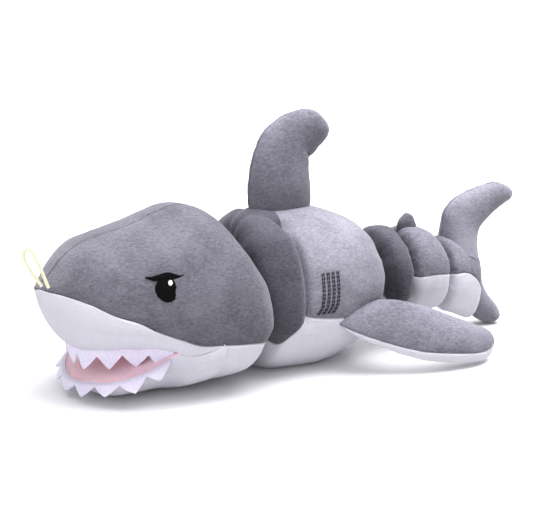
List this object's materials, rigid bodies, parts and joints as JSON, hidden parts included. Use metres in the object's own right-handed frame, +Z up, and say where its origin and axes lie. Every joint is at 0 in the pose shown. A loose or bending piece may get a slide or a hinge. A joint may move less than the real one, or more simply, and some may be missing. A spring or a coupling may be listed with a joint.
{
  "type": "plush shark",
  "caption": "Stuffed cartoon shark toy lying on its belly, with an open mouth with felt teeth, soft fins, a segmented tail and a hidden squeaker that can be pressed.",
  "frame": {"origin": "middle of the plan outline, on the surface the belly rests on", "axes": "-Y towards the nose, +Y towards the tail, +Z up, +X towards the shark's own left"},
  "size_m": [0.1604, 0.3641, 0.1642],
  "materials": {
    "dark_plush": "matte",
    "light_plush": "matte",
    "white_plush": "matte",
    "white_felt": "matte",
    "pink_felt": "matte",
    "black_thread": "satin",
    "white_thread": "satin",
    "grey_thread": "satin",
    "loop_cord": "satin",
    "stuffing": "matte",
    "squeaker_plastic": "satin"
  },
  "bodies": {
    "torso": {"neck_back": "dark_plush", "neck_belly": "white_plush", "torso_back": "light_plush", "torso_belly": "white_plush", "gills_left": "grey_thread", "gills_right": "grey_thread", "body_stuffing": "stuffing", "squeaker_bulb": "squeaker_plastic", "squeaker_reed": "squeaker_plastic"},
    "squeaker_cap": {"squeaker_cap": "squeaker_plastic"},
    "neck_tie": {"neck_gather_thread": "grey_thread"},
    "head": {"head_left_panel": "dark_plush", "head_right_panel": "dark_plush", "muzzle": "white_plush", "throat": "white_plush", "palate": "pink_felt", "upper_teeth": "white_felt", "eye_left": "black_thread", "eye_right": "black_thread", "eye_glint_left": "white_thread", "eye_glint_right": "white_thread", "head_stuffing": "stuffing", "hang_loop": "loop_cord"},
    "jaw": {"jaw_skin": "white_plush", "mouth_floor": "pink_felt", "lower_teeth": "white_felt", "jaw_stuffing": "stuffing"},
    "dorsal_fin": {"dorsal_left_panel": "light_plush", "dorsal_right_panel": "light_plush", "dorsal_stuffing": "stuffing"},
    "pectoral_left": {"pectoral_left_top": "light_plush", "pectoral_left_underside": "white_plush", "pectoral_left_stuffing": "stuffing"},
    "pectoral_right": {"pectoral_right_top": "light_plush", "pectoral_right_underside": "white_plush", "pectoral_right_stuffing": "stuffing"},
    "tail_base": {"tail_base_back": "dark_plush", "tail_base_belly": "white_plush", "tail_base_stuffing": "stuffing"},
    "tail_mid": {"tail_mid_back": "dark_plush", "tail_mid_belly": "white_plush", "tail_mid_stuffing": "stuffing", "second_dorsal": "dark_plush"},
    "tail_end": {"tail_end_back": "light_plush", "tail_end_belly": "white_plush", "tail_end_stuffing": "stuffing", "caudal_left_panel": "light_plush", "caudal_right_panel": "light_plush", "caudal_stuffing": "stuffing", "lower_lobe": "light_plush"}
  },
  "joints": [
    {"name": "neck_turn", "type": "hinge", "parent": "torso", "child": "neck_tie", "pos_m": [0, -0.0416, 0.048], "axis": [0, 0, 1], "range_deg": [-6, 6], "stiffness_Nm_per_rad": 2},
    {"name": "head_nod", "type": "hinge", "parent": "neck_tie", "child": "head", "pos_m": [0, -0.0435, 0.046], "axis": [-1, 0, 0], "range_deg": [-2, 8], "stiffness_Nm_per_rad": 3},
    {"name": "jaw_open", "type": "hinge", "parent": "head", "child": "jaw", "pos_m": [0, -0.105, 0.028], "axis": [1, 0, 0], "range_deg": [-6, 8], "stiffness_Nm_per_rad": 0.4},
    {"name": "dorsal_flop", "type": "hinge", "parent": "torso", "child": "dorsal_fin", "pos_m": [0, -0.01, 0.1045], "axis": [0, 1, 0], "range_deg": [-25, 25], "stiffness_Nm_per_rad": 0.6},
    {"name": "pectoral_left_flap", "type": "hinge", "parent": "torso", "child": "pectoral_left", "pos_m": [0.0509, 0.02, 0.04], "axis": [0.0595, -0.9745, -0.2165], "range_deg": [-6, 45], "stiffness_Nm_per_rad": 0.3},
    {"name": "pectoral_right_flap", "type": "hinge", "parent": "torso", "child": "pectoral_right", "pos_m": [-0.0509, 0.02, 0.04], "axis": [0.0595, 0.9745, 0.2165], "range_deg": [-6, 45], "stiffness_Nm_per_rad": 0.3},
    {"name": "tail_swing", "type": "hinge", "parent": "torso", "child": "tail_base", "pos_m": [0, 0.0585, 0.05], "axis": [0, 0, 1], "range_deg": [-15, 15], "stiffness_Nm_per_rad": 1.5},
    {"name": "tail_lift", "type": "hinge", "parent": "tail_base", "child": "tail_mid", "pos_m": [0, 0.0784, 0.05], "axis": [1, 0, 0], "range_deg": [-2, 12], "stiffness_Nm_per_rad": 2.5},
    {"name": "caudal_sway", "type": "hinge", "parent": "tail_mid", "child": "tail_end", "pos_m": [0, 0.113, 0.045], "axis": [0, 0, 1], "range_deg": [-15, 15], "stiffness_Nm_per_rad": 1},
    {"name": "squeaker_press", "type": "slide", "parent": "torso", "child": "squeaker_cap", "axis": [0, 0, -1], "range_m": [0, 0.005], "stiffness_N_per_m": 400}
  ]
}
